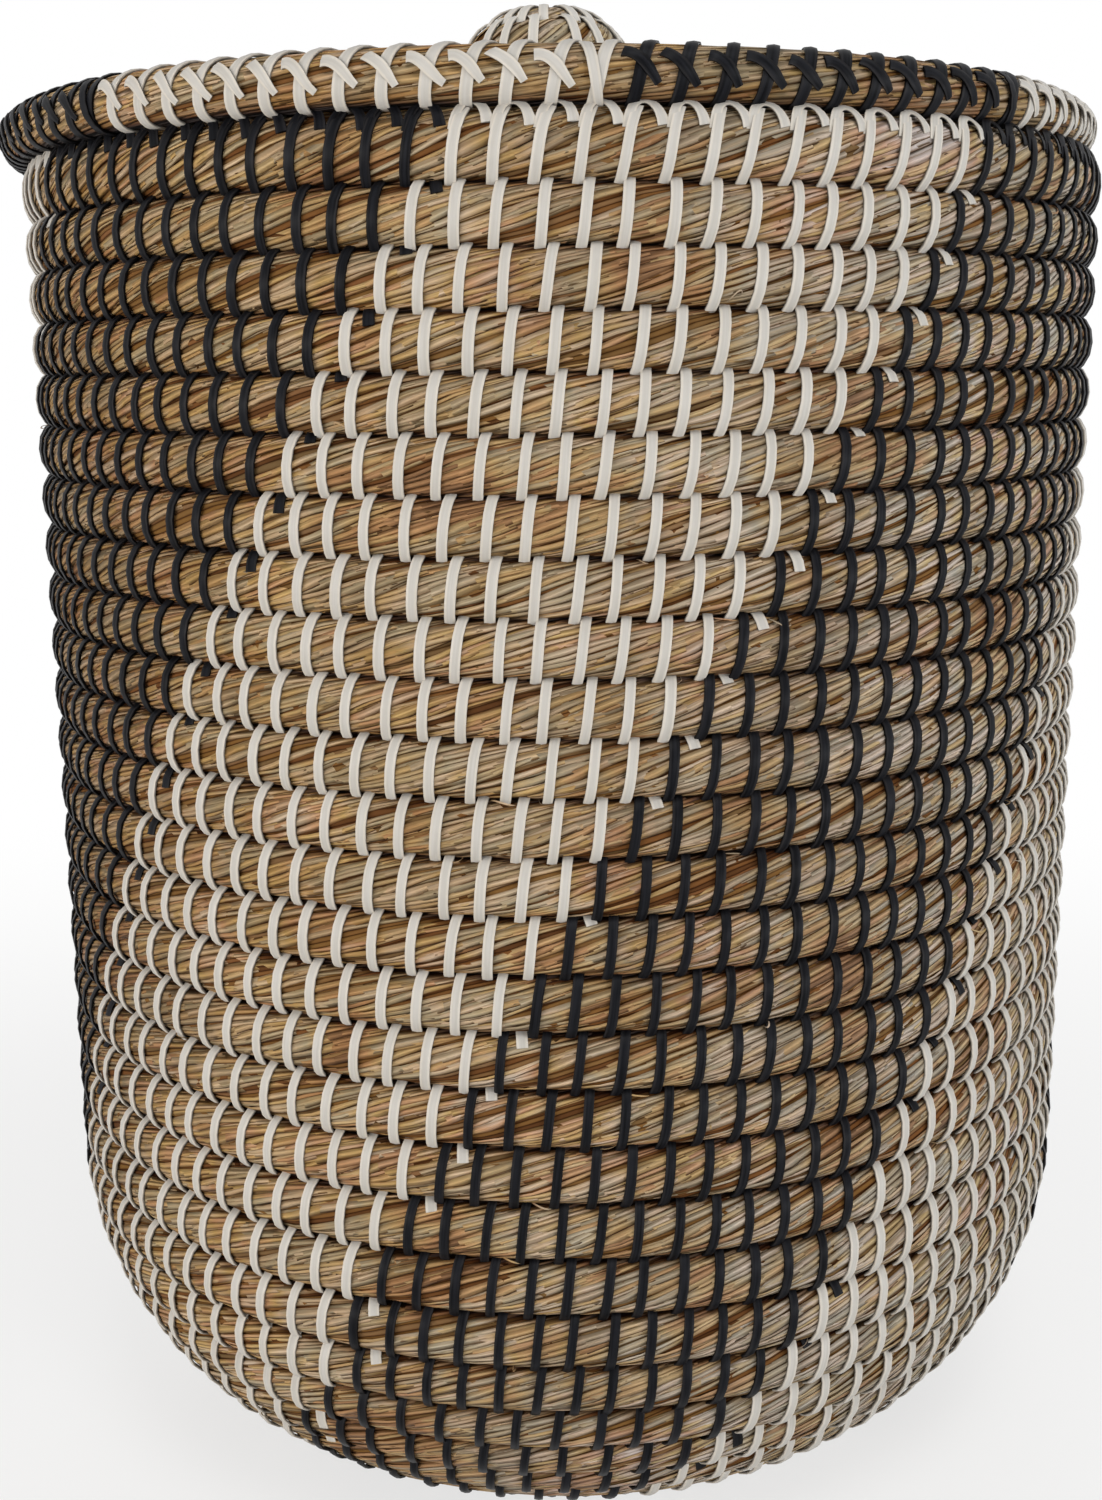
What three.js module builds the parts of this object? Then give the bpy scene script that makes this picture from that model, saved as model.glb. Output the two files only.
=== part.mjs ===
// Round laundry basket of coiled grass, with a coiled lid and a domed coiled knob.
// Millimetres, +Z up. The origin is on the floor at the centre of the base, and -Y is the front.
import * as THREE from 'three';

// Basket
const basketDiameter = 420; // over the rows of the wall
const basketBundle = 21; // a row of the basket, from inside to outside
const rimRowHeight = 18.2; // height of the rows at the rim
const rowGrowth = 0.123; // each row down is this much taller than the one above
const topRowExtra = 2.8; // what the top row has over the height of the others
const wallRows = 20; // rows in the straight wall, with the top row
const heelRows = 7; // rows from there to the edge of the base
const heelRadius = 126; // outside curve that turns the wall inwards
const heelTurn = 55; // degrees turned where the tighter foot curve takes over
const footRadius = 70; // outside curve into the flat base
const climbFrom = 120; // degrees from the front, where each row starts to step to the next
const climbTo = 240; // degrees from the front, where that step is complete
const basketSteps = 24; // straight steps in one turn of the coil

// Lid
const lidDiameter = 424; // over the rim coil
const lidBundle = 17.5; // thickness of the lid's rows
const lidRise = 7; // how far the middle of the lid stands above its edge
const lidShift = -5.2; // the lid lies this far to the left in its play
const mouthPlay = 7; // radial room between the seat ring and the mouth
const seatRingBundle = 14;

// Knob
const knobDiameter = 70;
const knobBundle = 14;
const knobRows = 3;
const knobEye = 7; // radius of the core's end, which shows at the top of the knob
const knobSteps = 12;

// Clearances
const rowGap = 0.6; // between rows that lie on each other
const jointGap = 0.6; // between the butted ends of two lengths of coil
const seatGap = 0.3; // between pieces that rest on each other
const slimmestTip = 4; // height at which the thinned end of a coil is cut off

const grass = { color: 0xa98a58, roughness: 0.85, metalness: 0 };
const paleGrass = { color: 0xb59a66, roughness: 0.85, metalness: 0 };

const outerRadius = basketDiameter / 2;
const turned = THREE.MathUtils.degToRad(heelTurn);
const wallHeight = rowEdge(wallRows);
const flatRadius = outerRadius - heelRadius * (1 - Math.cos(turned)) - footRadius * Math.cos(turned);
const basketHeight = wallHeight + heelRadius * Math.sin(turned) + footRadius * (1 - Math.sin(turned));

// Length down the outside from the top edge to the lower edge of row k.
function rowEdge(k) {
  return topRowExtra * Math.min(k, 1) + rimRowHeight * k + (rowGrowth * k * k) / 2;
}

// The outside of the basket: the point at length s from the top edge, and how far it has turned.
function basketProfile(s) {
  const heelLength = heelRadius * turned;
  const footLength = footRadius * (Math.PI / 2 - turned);
  const heelPart = THREE.MathUtils.clamp(s - wallHeight, 0, heelLength) / heelRadius;
  const footPart = THREE.MathUtils.clamp(s - wallHeight - heelLength, 0, footLength) / footRadius;
  const flatPart = Math.max(s - wallHeight - heelLength - footLength, 0);
  const footTurn = turned + footPart;
  const footIn = footPart > 0 ? footRadius * (Math.cos(turned) - Math.cos(footTurn)) : 0;
  const footDown = footPart > 0 ? footRadius * (Math.sin(footTurn) - Math.sin(turned)) : 0;
  return {
    radius: outerRadius - heelRadius * (1 - Math.cos(heelPart)) - footIn - flatPart,
    height: basketHeight - Math.min(s, wallHeight) - heelRadius * Math.sin(heelPart) - footDown,
    turn: heelPart + footPart,
  };
}

// The outside of the knob, from its foot up a short upright part and over the dome.
const knobBase = basketHeight + seatGap + lidBundle + lidRise + seatGap;
const knobUpright = knobBundle / 2;
const knobLength = knobUpright + (knobDiameter / 2) * (Math.PI / 2) - knobEye;

function knobProfile(s) {
  const dome = Math.max(s - knobUpright, 0) / (knobDiameter / 2);
  return {
    radius: (knobDiameter / 2) * Math.cos(dome),
    height: knobBase + Math.min(s, knobUpright) + (knobDiameter / 2) * Math.sin(dome),
    turn: -dome,
  };
}

// A point at depth d inside a profile, in the plane of radius and height.
function inside(profile, s, d) {
  const at = profile(s);
  return new THREE.Vector2(at.radius - d * Math.cos(at.turn), at.height + d * Math.sin(at.turn));
}

// Degrees from the front, to the right, and a point of that plane placed there.
function placed(point, degrees) {
  const angle = THREE.MathUtils.degToRad(degrees);
  return new THREE.Vector3(point.x * Math.sin(angle), -point.x * Math.cos(angle), point.y);
}

// Row number after a number of turns: level round the front, with the step to the next row behind.
function rowAfter(turns) {
  const row = Math.floor(turns + 1e-9);
  const level = 1 - (climbTo - climbFrom) / 360;
  const t = THREE.MathUtils.clamp((turns - row - level) / (1 - level), 0, 1);
  return row + t * t * (3 - 2 * t);
}

// Six-sided rings of one length of coil, flat where it lies on the next row. A thinned end keeps to the
// level edge of the first or last row, where the coil runs out.
function coilRings({ profile, edge, from, to, thinStart, thinEnd, bundle, gap, steps }) {
  const rings = [];
  const middle = profile((edge(from) + edge(to)) / 2).radius - bundle / 2;
  const buttedEnd = jointGap / 2 / (2 * Math.PI * middle);
  const first = thinStart ? Math.round((from - 1) * steps) : Math.round(from * steps);
  const last = Math.round(to * steps);
  for (let i = first; i <= last; i += 1) {
    let turns = i / steps;
    if (i === first && !thinStart) turns += buttedEnd;
    if (i === last && !thinEnd) turns -= buttedEnd;
    const row = rowAfter(turns);
    const top = edge(thinStart ? Math.max(row, from) : row) + gap / 2;
    const bottom = edge(thinEnd ? Math.min(row + 1, to) : row + 1) - gap / 2;
    if (bottom - top < slimmestTip) continue;
    const corners = [
      [(top + bottom) / 2, 0],
      [bottom, bundle / 4],
      [bottom, (bundle * 3) / 4],
      [(top + bottom) / 2, bundle],
      [top, (bundle * 3) / 4],
      [top, bundle / 4],
    ];
    const degrees = climbTo + turns * 360;
    rings.push(corners.map(([s, d]) => placed(inside(profile, s, d), degrees)));
  }
  return rings;
}

// One closed tube through a list of rings.
function tubeGeometry(rings) {
  const sides = rings[0].length;
  const positions = rings.flat().flatMap((p) => [p.x, p.y, p.z]);
  const index = [];
  for (let i = 0; i < rings.length - 1; i += 1) {
    for (let j = 0; j < sides; j += 1) {
      const a = i * sides + j;
      const b = i * sides + ((j + 1) % sides);
      index.push(a, b, a + sides, b, b + sides, a + sides);
    }
  }
  const lastRing = (rings.length - 1) * sides;
  for (let j = 1; j < sides - 1; j += 1) {
    index.push(0, j + 1, j);
    index.push(lastRing, lastRing + j, lastRing + j + 1);
  }
  const geometry = new THREE.BufferGeometry();
  geometry.setAttribute('position', new THREE.Float32BufferAttribute(positions, 3));
  geometry.setIndex(index);
  return facingOut(geometry);
}

// A solid turned about the upright axis from points of radius and height.
function turnedGeometry(points, segments) {
  const geometry = new THREE.LatheGeometry(points, segments);
  geometry.rotateX(Math.PI / 2);
  return facingOut(geometry);
}

function facingOut(geometry) {
  const at = geometry.getAttribute('position');
  const index = geometry.getIndex().array;
  const [a, b, c] = [new THREE.Vector3(), new THREE.Vector3(), new THREE.Vector3()];
  let volume = 0;
  for (let i = 0; i < index.length; i += 3) {
    a.fromBufferAttribute(at, index[i]);
    b.fromBufferAttribute(at, index[i + 1]);
    c.fromBufferAttribute(at, index[i + 2]);
    volume += a.dot(b.cross(c)) / 6;
  }
  if (volume < 0) {
    for (let i = 0; i < index.length; i += 3) [index[i], index[i + 1]] = [index[i + 1], index[i]];
  }
  geometry.computeVertexNormals();
  return geometry;
}

// Least distance from a coil to its own next turn, measured between points along the rings' sides.
function leastGap(rings, steps) {
  const sampled = rings.map((ring) =>
    ring.flatMap((p, j) => [0, 0.25, 0.5, 0.75].map((t) => p.clone().lerp(ring[(j + 1) % ring.length], t))),
  );
  let least = Infinity;
  for (let i = 0; i < sampled.length; i += 1) {
    for (let j = i + steps - 1; j <= Math.min(i + steps + 1, sampled.length - 1); j += 1) {
      for (const p of sampled[i]) for (const q of sampled[j]) least = Math.min(least, p.distanceTo(q));
    }
  }
  return least;
}

function basketCoil(from, to, thin) {
  return coilRings({
    profile: basketProfile,
    edge: rowEdge,
    from,
    to,
    thinStart: thin === 'start',
    thinEnd: thin === 'end',
    bundle: basketBundle,
    gap: rowGap,
    steps: basketSteps,
  });
}

function basketBase() {
  const rowsEnd = rowEdge(wallRows + heelRows) + rowGap / 2;
  const shoulder = rowsEnd + basketBundle / 4;
  const flatStart = wallHeight + heelRadius * turned + footRadius * (Math.PI / 2 - turned);
  const curve = [];
  for (let i = 0; i <= 4; i += 1) curve.push(shoulder + (Math.max(flatStart - shoulder, 1) * i) / 4);
  return [
    new THREE.Vector2(0, 0),
    ...curve.toReversed().map((s) => inside(basketProfile, s, 0)),
    inside(basketProfile, rowsEnd, basketBundle / 4),
    inside(basketProfile, rowsEnd, (basketBundle * 3) / 4),
    ...curve.map((s) => inside(basketProfile, s, basketBundle)),
    new THREE.Vector2(0, basketBundle),
  ];
}

// Corners of an eight-sided bundle about a centre in the plane of radius and height.
function bundleCorners(centreRadius, centreHeight, bundle) {
  const half = bundle / 2;
  const flat = half * Math.tan(Math.PI / 8);
  const corners = [
    [half, -flat],
    [half, flat],
    [flat, half],
    [-flat, half],
    [-half, flat],
    [-half, -flat],
    [-flat, -half],
    [flat, -half],
  ];
  return corners.map(([x, y]) => new THREE.Vector2(centreRadius + x, centreHeight + y));
}

const lidHeight = basketHeight + seatGap + lidBundle / 2; // middle of the rim coil
const lidRimRadius = (lidDiameter - lidBundle) / 2;
const panelRadius = lidRimRadius - lidBundle / 2 - rowGap;

// One turn of the lid's rim coil, its ends butted at the back.
function lidRimRings() {
  const corners = bundleCorners(lidRimRadius, lidHeight, lidBundle);
  const buttedEnd = THREE.MathUtils.radToDeg(jointGap / 2 / lidRimRadius);
  const rings = [];
  for (let i = 0; i <= basketSteps; i += 1) {
    let degrees = 180 + (i * 360) / basketSteps;
    if (i === 0) degrees += buttedEnd;
    if (i === basketSteps) degrees -= buttedEnd;
    rings.push(corners.map((corner) => placed(corner, degrees)));
  }
  return rings;
}

function lidPanelHeight(radius) {
  return lidHeight + lidRise * (1 - (radius / panelRadius) ** 2);
}

function lidPanel() {
  const half = lidBundle / 2;
  const shares = [0, 0.25, 0.5, 0.75, 1];
  const radii = shares.map((share) => share * (panelRadius - lidBundle / 4));
  return [
    ...radii.map((r) => new THREE.Vector2(r, lidPanelHeight(r) - half)),
    new THREE.Vector2(panelRadius, lidHeight - half / 2),
    new THREE.Vector2(panelRadius, lidHeight + half / 2),
    ...radii.toReversed().map((r) => new THREE.Vector2(r, lidPanelHeight(r) + half)),
  ];
}

function seatRing() {
  const facet = Math.cos(Math.PI / basketSteps);
  const outside = (outerRadius - basketBundle) * facet - mouthPlay;
  const top = lidPanelHeight(outside) - lidBundle / 2 - seatGap;
  const corners = bundleCorners(outside - seatRingBundle / 2, top - seatRingBundle / 2, seatRingBundle);
  return [...corners, corners[0]];
}

function knobCoil() {
  return coilRings({
    profile: knobProfile,
    edge: (k) => (knobLength * k) / knobRows,
    from: 0,
    to: knobRows,
    thinStart: true,
    thinEnd: true,
    bundle: knobBundle,
    gap: rowGap * 2,
    steps: knobSteps,
  });
}

// The bundle inside the knob, with a neck that fills the eye at the top.
function knobCore() {
  const radius = knobDiameter / 2 - knobBundle - rowGap;
  const middle = knobBase + knobUpright;
  const eyeAngle = knobEye / (knobDiameter / 2);
  const neck = (knobDiameter / 2 - (knobBundle * 3) / 4) * Math.sin(eyeAngle) * 0.95 - rowGap;
  const top = middle + (knobDiameter / 2) * Math.cos(eyeAngle);
  const dome = [];
  const domeEnd = Math.acos(neck / radius);
  for (let i = 0; i <= 4; i += 1) {
    const angle = (domeEnd * i) / 4;
    dome.push(new THREE.Vector2(radius * Math.cos(angle), middle + radius * Math.sin(angle)));
  }
  return [
    new THREE.Vector2(0, knobBase),
    new THREE.Vector2(radius, knobBase),
    ...dome,
    new THREE.Vector2(neck, top),
    new THREE.Vector2(0, top + neck / 4),
  ];
}

function piece(name, geometry, finish) {
  const mesh = new THREE.Mesh(geometry, new THREE.MeshStandardMaterial(finish));
  mesh.name = name;
  return mesh;
}

function coilPiece(name, rings, steps, finish) {
  if (rings.length > steps) console.log(`${name}: least gap to itself ${leastGap(rings, steps).toFixed(2)} mm`);
  return piece(name, tubeGeometry(rings), finish);
}

const allRows = wallRows + heelRows;
const basket = new THREE.Group();
basket.add(
  piece('base_coil', turnedGeometry(basketBase(), basketSteps), paleGrass),
  coilPiece('heel_coil', basketCoil(wallRows, allRows, 'end'), basketSteps, grass),
  coilPiece('wall_coil', basketCoil(1, wallRows, 'none'), basketSteps, grass),
  coilPiece('rim_coil', basketCoil(0, 1, 'start'), basketSteps, grass),
);

const lid = new THREE.Group();
lid.position.x = lidShift;
lid.add(
  piece('lid_panel_coil', turnedGeometry(lidPanel(), basketSteps), paleGrass),
  coilPiece('lid_rim_coil', lidRimRings(), basketSteps, grass),
  piece('lid_seat_ring', turnedGeometry(seatRing(), basketSteps), paleGrass),
  coilPiece('knob_coil', knobCoil(), knobSteps, grass),
  piece('knob_core', turnedGeometry(knobCore(), knobSteps), paleGrass),
);

const laundryBasket = new THREE.Group();
laundryBasket.add(basket, lid);
export default laundryBasket;
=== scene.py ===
# Round laundry basket of coiled grass with a lift-off lid, stitched in cream and black strip.
# Sizes are in millimetres and mm turns them into metres. -Y is the front, +Z is up.
import math
import random
from bisect import bisect_right

import bpy
from mathutils import Matrix, Vector


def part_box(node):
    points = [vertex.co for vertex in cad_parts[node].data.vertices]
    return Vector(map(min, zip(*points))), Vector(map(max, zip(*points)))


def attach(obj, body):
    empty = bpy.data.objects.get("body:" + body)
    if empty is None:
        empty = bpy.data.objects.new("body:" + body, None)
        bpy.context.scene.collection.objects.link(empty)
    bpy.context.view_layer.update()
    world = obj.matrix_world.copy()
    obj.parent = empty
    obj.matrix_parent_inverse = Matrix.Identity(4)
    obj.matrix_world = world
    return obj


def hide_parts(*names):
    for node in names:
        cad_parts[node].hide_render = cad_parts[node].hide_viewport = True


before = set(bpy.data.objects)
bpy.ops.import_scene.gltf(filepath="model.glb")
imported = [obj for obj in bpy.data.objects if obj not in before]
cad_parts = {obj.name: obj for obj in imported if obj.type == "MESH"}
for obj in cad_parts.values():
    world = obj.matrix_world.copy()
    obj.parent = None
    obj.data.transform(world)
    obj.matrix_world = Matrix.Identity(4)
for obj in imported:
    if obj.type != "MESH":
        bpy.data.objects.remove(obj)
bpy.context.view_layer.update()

mm = 0.001
scene = bpy.context.scene

quarterTurn = 1.5708
squareness = 0.87  # of a bundle's section: 1 is an ellipse, and less is squarer
bandEdge = 0.2  # the same for the two sides and the two faces of a strip's section
bandFace = 0.8


# Node helpers

class Field:
    def __init__(self, tree, socket):
        self.tree = tree
        self.socket = socket

    def __add__(self, other):
        return maths(self.tree, "ADD", self, other)

    def __radd__(self, other):
        return maths(self.tree, "ADD", other, self)

    def __sub__(self, other):
        return maths(self.tree, "SUBTRACT", self, other)

    def __rsub__(self, other):
        return maths(self.tree, "SUBTRACT", other, self)

    def __mul__(self, other):
        return maths(self.tree, "MULTIPLY", self, other)

    def __rmul__(self, other):
        return maths(self.tree, "MULTIPLY", other, self)

    def __truediv__(self, other):
        return maths(self.tree, "DIVIDE", self, other)

    def __pow__(self, other):
        return maths(self.tree, "POWER", self, other)

    def __neg__(self):
        return maths(self.tree, "MULTIPLY", self, -1.0)


def plug(tree, socket, value):
    if isinstance(value, Field):
        tree.links.new(value.socket, socket)
    elif isinstance(value, bpy.types.NodeSocket):
        tree.links.new(value, socket)
    else:
        socket.default_value = value


def addNode(tree, kind, plugs=None, **settings):
    node = tree.nodes.new(kind)
    for name, value in settings.items():
        setattr(node, name, value)
    for key, value in (plugs or {}).items():
        plug(tree, node.inputs[key], value)
    return node


def maths(tree, operation, *values):
    node = addNode(tree, "ShaderNodeMath", dict(enumerate(values)), operation=operation)
    return Field(tree, node.outputs[0])


def vectors(tree, operation, *values):
    node = addNode(tree, "ShaderNodeVectorMath", dict(enumerate(values)), operation=operation)
    return Field(tree, node.outputs[0])


def scaled(tree, vector, amount):
    node = addNode(tree, "ShaderNodeVectorMath", {0: vector, "Scale": amount}, operation="SCALE")
    return Field(tree, node.outputs[0])


def summed(tree, *parts):
    total = parts[0]
    for part in parts[1:]:
        total = vectors(tree, "ADD", total, part)
    return total


def parted(tree, vector):
    node = addNode(tree, "ShaderNodeSeparateXYZ", {0: vector})
    return [Field(tree, socket) for socket in node.outputs]


def joined(tree, x, y, z):
    node = addNode(tree, "ShaderNodeCombineXYZ", {0: x, 1: y, 2: z})
    return Field(tree, node.outputs[0])


def signedPower(tree, value, power):
    size = maths(tree, "POWER", maths(tree, "ABSOLUTE", value), power)
    return maths(tree, "SIGN", value) * size


def noise(tree, place, scale=1.0, detail=1.0):
    node = addNode(tree, "ShaderNodeTexNoise", {"Vector": place, "Scale": scale, "Detail": detail})
    return Field(tree, node.outputs[0])


def chance(tree, low, high, seed):
    node = addNode(tree, "FunctionNodeRandomValue", {2: low, 3: high, "Seed": seed}, data_type="FLOAT")
    return Field(tree, node.outputs[1])


def stored(tree, geometry, name, value, kind="FLOAT_VECTOR", domain="POINT"):
    plugs = {"Geometry": geometry, "Name": name, "Value": value}
    node = addNode(tree, "GeometryNodeStoreNamedAttribute", plugs, data_type=kind, domain=domain)
    return node.outputs[0]


def named(tree, name, kind="FLOAT_VECTOR"):
    node = addNode(tree, "GeometryNodeInputNamedAttribute", {"Name": name}, data_type=kind)
    return Field(tree, node.outputs[0])


# A tree takes a path as its geometry, and bends what it makes onto the curve of the path.
def newTree(name, **inputs):
    tree = bpy.data.node_groups.new(name, "GeometryNodeTree")
    tree.interface.new_socket("Geometry", in_out="OUTPUT", socket_type="NodeSocketGeometry")
    for kind, sockets in {"Geometry": ["Geometry"], **inputs, "Material": ["Material"]}.items():
        for socket in sockets:
            tree.interface.new_socket(socket, in_out="INPUT", socket_type="NodeSocket" + kind)
    inputs = tree.nodes.new("NodeGroupInput")
    use = {socket.name: Field(tree, socket) for socket in inputs.outputs if socket.name}
    curve = addNode(tree, "GeometryNodeMeshToCurve", {"Mesh": use["Geometry"]}).outputs[0]
    return tree, use, curve


def endTree(tree, geometry, place, material, crisp=False):
    moved = addNode(tree, "GeometryNodeSetPosition", {"Geometry": geometry, "Position": place})
    smooth = addNode(tree, "GeometryNodeSetShadeSmooth", {"Geometry": moved.outputs[0]})
    if crisp:
        angle = Field(tree, addNode(tree, "GeometryNodeInputMeshEdgeAngle").outputs[0])
        sharp = maths(tree, "GREATER_THAN", angle, 0.5)
        plugs = {"Geometry": smooth.outputs[0], "Selection": sharp, "Shade Smooth": False}
        smooth = addNode(tree, "GeometryNodeSetShadeSmooth", plugs, domain="EDGE")
    real = addNode(tree, "GeometryNodeRealizeInstances", {"Geometry": smooth.outputs[0]})
    finish = addNode(tree, "GeometryNodeSetMaterial", {"Geometry": real.outputs[0], "Material": material})
    addNode(tree, "NodeGroupOutput", {0: finish.outputs[0]})


# What a coil has at a length along it: one of its attributes, and its middle.
def sampled(tree, curve, length, name):
    plugs = {"Curves": curve, "Value": named(tree, name), "Length": length}
    node = addNode(tree, "GeometryNodeSampleCurve", plugs, mode="LENGTH", data_type="FLOAT_VECTOR")
    return Field(tree, node.outputs[0]), Field(tree, node.outputs[1])


def coilPlace(tree, curve, length):
    outward, middle = sampled(tree, curve, length, "outward")
    along, _ = sampled(tree, curve, length, "along")
    size, _ = sampled(tree, curve, length, "size")
    down = vectors(tree, "CROSS_PRODUCT", along, outward)
    halfHeight, halfDepth, _ = parted(tree, size)
    return middle, outward, along, down, halfHeight, halfDepth


# From 0 at the groove above a row to 1 at the groove below it. A side without a next row has no groove.
def grooveDepth(tree, curve, length, angle):
    grooved, _ = sampled(tree, curve, length, "grooved")
    upper, lower, _ = parted(tree, grooved)
    sine = maths(tree, "SINE", angle)
    above = maths(tree, "MINIMUM", sine, 0.0) * upper
    below = maths(tree, "MAXIMUM", sine, 0.0) * lower
    return (above + below) * 0.5 + 0.5


# A place on a coil, from the length along it, the angle round its section and the lift off it.
def onSection(tree, curve, length, angle, lift):
    middle, outward, _, down, halfHeight, halfDepth = coilPlace(tree, curve, length)
    sine = maths(tree, "SINE", angle)
    cosine = maths(tree, "COSINE", angle)
    across = signedPower(tree, sine, squareness) * halfHeight + sine * lift
    out = signedPower(tree, cosine, squareness) * halfDepth + cosine * lift
    return aboveFloor(tree, summed(tree, middle, scaled(tree, outward, out), scaled(tree, down, across)))


# The floor presses flat whatever would go below it.
def aboveFloor(tree, place):
    x, y, z = parted(tree, place)
    return joined(tree, x, y, maths(tree, "SMOOTH_MAX", z, 0.1 * mm, 0.3 * mm))


# A straight strip along X, from the start to 1, with a round section of radius 1.
def unitStrip(tree, steps, sides, start):
    line = addNode(tree, "GeometryNodeCurvePrimitiveLine", {"Start": (start, 0, 0), "End": (1, 0, 0)})
    cut = addNode(tree, "GeometryNodeResampleCurve", {"Curve": line.outputs[0], "Count": steps})
    ring = addNode(tree, "GeometryNodeCurvePrimitiveCircle", {"Resolution": sides, "Radius": 1.0})
    strip = addNode(tree, "GeometryNodeCurveToMesh", {
        "Curve": cut.outputs[0], "Profile Curve": ring.outputs[0], "Fill Caps": True,
    })
    place = Field(tree, addNode(tree, "GeometryNodeInputPosition").outputs[0])
    return stored(tree, strip.outputs[0], "unit", place)


bundles = {
    "ringStep": 6.6,
    "ridge": 0.7,
}


def makeBundleTree():
    floats = ["From", "To", "Around", "Slope", "Ridge"]
    tree, use, curve = newTree("coilBundle", Float=floats, Int=["Rings", "Sides"])
    tube = unitStrip(tree, use["Rings"], use["Sides"], 0.0)
    share, y, z = parted(tree, named(tree, "unit"))
    length = use["From"] + share * (use["To"] - use["From"])
    # the section's seam lies against the next row
    angle = maths(tree, "ARCTAN2", y, z) + quarterTurn
    strand = angle * use["Around"] + length * use["Slope"]
    kept = stored(tree, tube, "grain", joined(tree, length, strand, 0.0))
    kept = stored(tree, kept, "depth", grooveDepth(tree, curve, length, angle), kind="FLOAT")
    # ridges are long and narrow, like the strands
    ridges = noise(tree, joined(tree, length * 14.0, strand * 420.0, 0.0))
    place = onSection(tree, curve, length, angle, (ridges - 0.5) * use["Ridge"])
    endTree(tree, kept, place, use["Material"])
    return tree


# How the blades of grass lie on a bundle: how far they slant and stray, and how big they are.
blades = {
    "slope": 0.31,
    "slopeSpread": 0.07,
    "slopeDrift": 0.22,
    "stray": 5.0,
    "narrowest": 1.1,
    "widest": 3.0,
    "thickness": 0.35,
    "lift": 0.35,
    "waver": 0.3,
    "endSink": 1.2,  # how far the ends of a blade go into the bundle
    "stepLength": 8.7,
}


def makeBladeTree():
    floats = ["From", "To", "Stray", "Narrowest", "Widest", "Thickness", "Slope", "Slope spread",
              "Slope drift", "Face", "Half band", "Lift", "Around"]
    tree, use, curve = newTree("grassBlades", Float=floats, Int=["Count", "Steps", "Seed"])
    unit = unitStrip(tree, use["Steps"], 3, 0.0)
    points = addNode(tree, "GeometryNodePoints", {"Count": use["Count"]}).outputs[0]
    many = addNode(tree, "GeometryNodeInstanceOnPoints", {"Points": points, "Instance": unit}).outputs[0]
    seed = use["Seed"]
    middle = chance(tree, -1.0, 1.0, seed + 1) * use["Stray"]
    centre = chance(tree, use["From"], use["To"], seed + 3)
    # blades near each other slant alike, and the slant drifts along the coil
    bunch = noise(tree, joined(tree, centre * 19.0, 0.0, 0.0))
    drift = (bunch - 0.5) * 2.0 * use["Slope drift"]
    slope = use["Slope"] + chance(tree, -1.0, 1.0, seed) * use["Slope spread"] + drift
    slope = maths(tree, "MAXIMUM", slope, use["Slope"] * 0.6)
    length = chance(tree, 0.9, 1.15, seed + 2) * use["Half band"] * 2.0 / slope
    wide = chance(tree, use["Narrowest"], use["Widest"], seed + 4)
    lift = chance(tree, 0.0, 1.0, seed + 5) * use["Lift"]
    many = stored(tree, many, "bladePlace", joined(tree, centre, middle, lift), domain="INSTANCE")
    many = stored(tree, many, "bladeShape", joined(tree, length, wide, slope), domain="INSTANCE")
    many = stored(tree, many, "tone", chance(tree, 0.0, 1.0, seed + 6), kind="FLOAT", domain="INSTANCE")
    real = addNode(tree, "GeometryNodeRealizeInstances", {"Geometry": many}).outputs[0]

    share, up, across = parted(tree, named(tree, "unit"))
    u, y, lifted = parted(tree, named(tree, "bladePlace"))
    long, width, lean = parted(tree, named(tree, "bladeShape"))
    fromMiddle = share - 0.5
    taper = 1.0 - maths(tree, "ABSOLUTE", fromMiddle * 2.0) ** 5.0
    run = fromMiddle * long
    side = across * width * 0.5 * (taper * 0.85 + 0.15)
    tone = named(tree, "tone", "FLOAT")
    waver = noise(tree, joined(tree, (u + run) * 26.0, tone * 91.0, 0.0), detail=0.0)
    around = y - run * lean + side + (waver - 0.5) * (blades["waver"] * mm)
    angle = use["Face"] + around / use["Around"]
    height = lifted + up * use["Thickness"] - (1.0 - taper) * (blades["endSink"] * mm)
    at = u + run + side * lean
    real = stored(tree, real, "grain", joined(tree, run, across, tone))
    real = stored(tree, real, "depth", grooveDepth(tree, curve, at, angle), kind="FLOAT")
    endTree(tree, real, onSection(tree, curve, at, angle, height), use["Material"])
    return tree


# Copies of a strip, one for each vertex of a holder, which take the vertex's attributes.
def copied(tree, holder, unit):
    vertices = addNode(tree, "GeometryNodeObjectInfo", {"Object": holder}).outputs["Geometry"]
    points = addNode(tree, "GeometryNodeMeshToPoints", {"Mesh": vertices}).outputs[0]
    many = addNode(tree, "GeometryNodeInstanceOnPoints", {"Points": points, "Instance": unit}).outputs[0]
    return addNode(tree, "GeometryNodeRealizeInstances", {"Geometry": many}).outputs[0]


# The attributes that a strip's material reads.
def marked(tree, geometry, grain, depth, rise):
    geometry = stored(tree, geometry, "grain", grain)
    geometry = stored(tree, geometry, "depth", depth, kind="FLOAT")
    return stored(tree, geometry, "rise", rise, kind="FLOAT")


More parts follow.
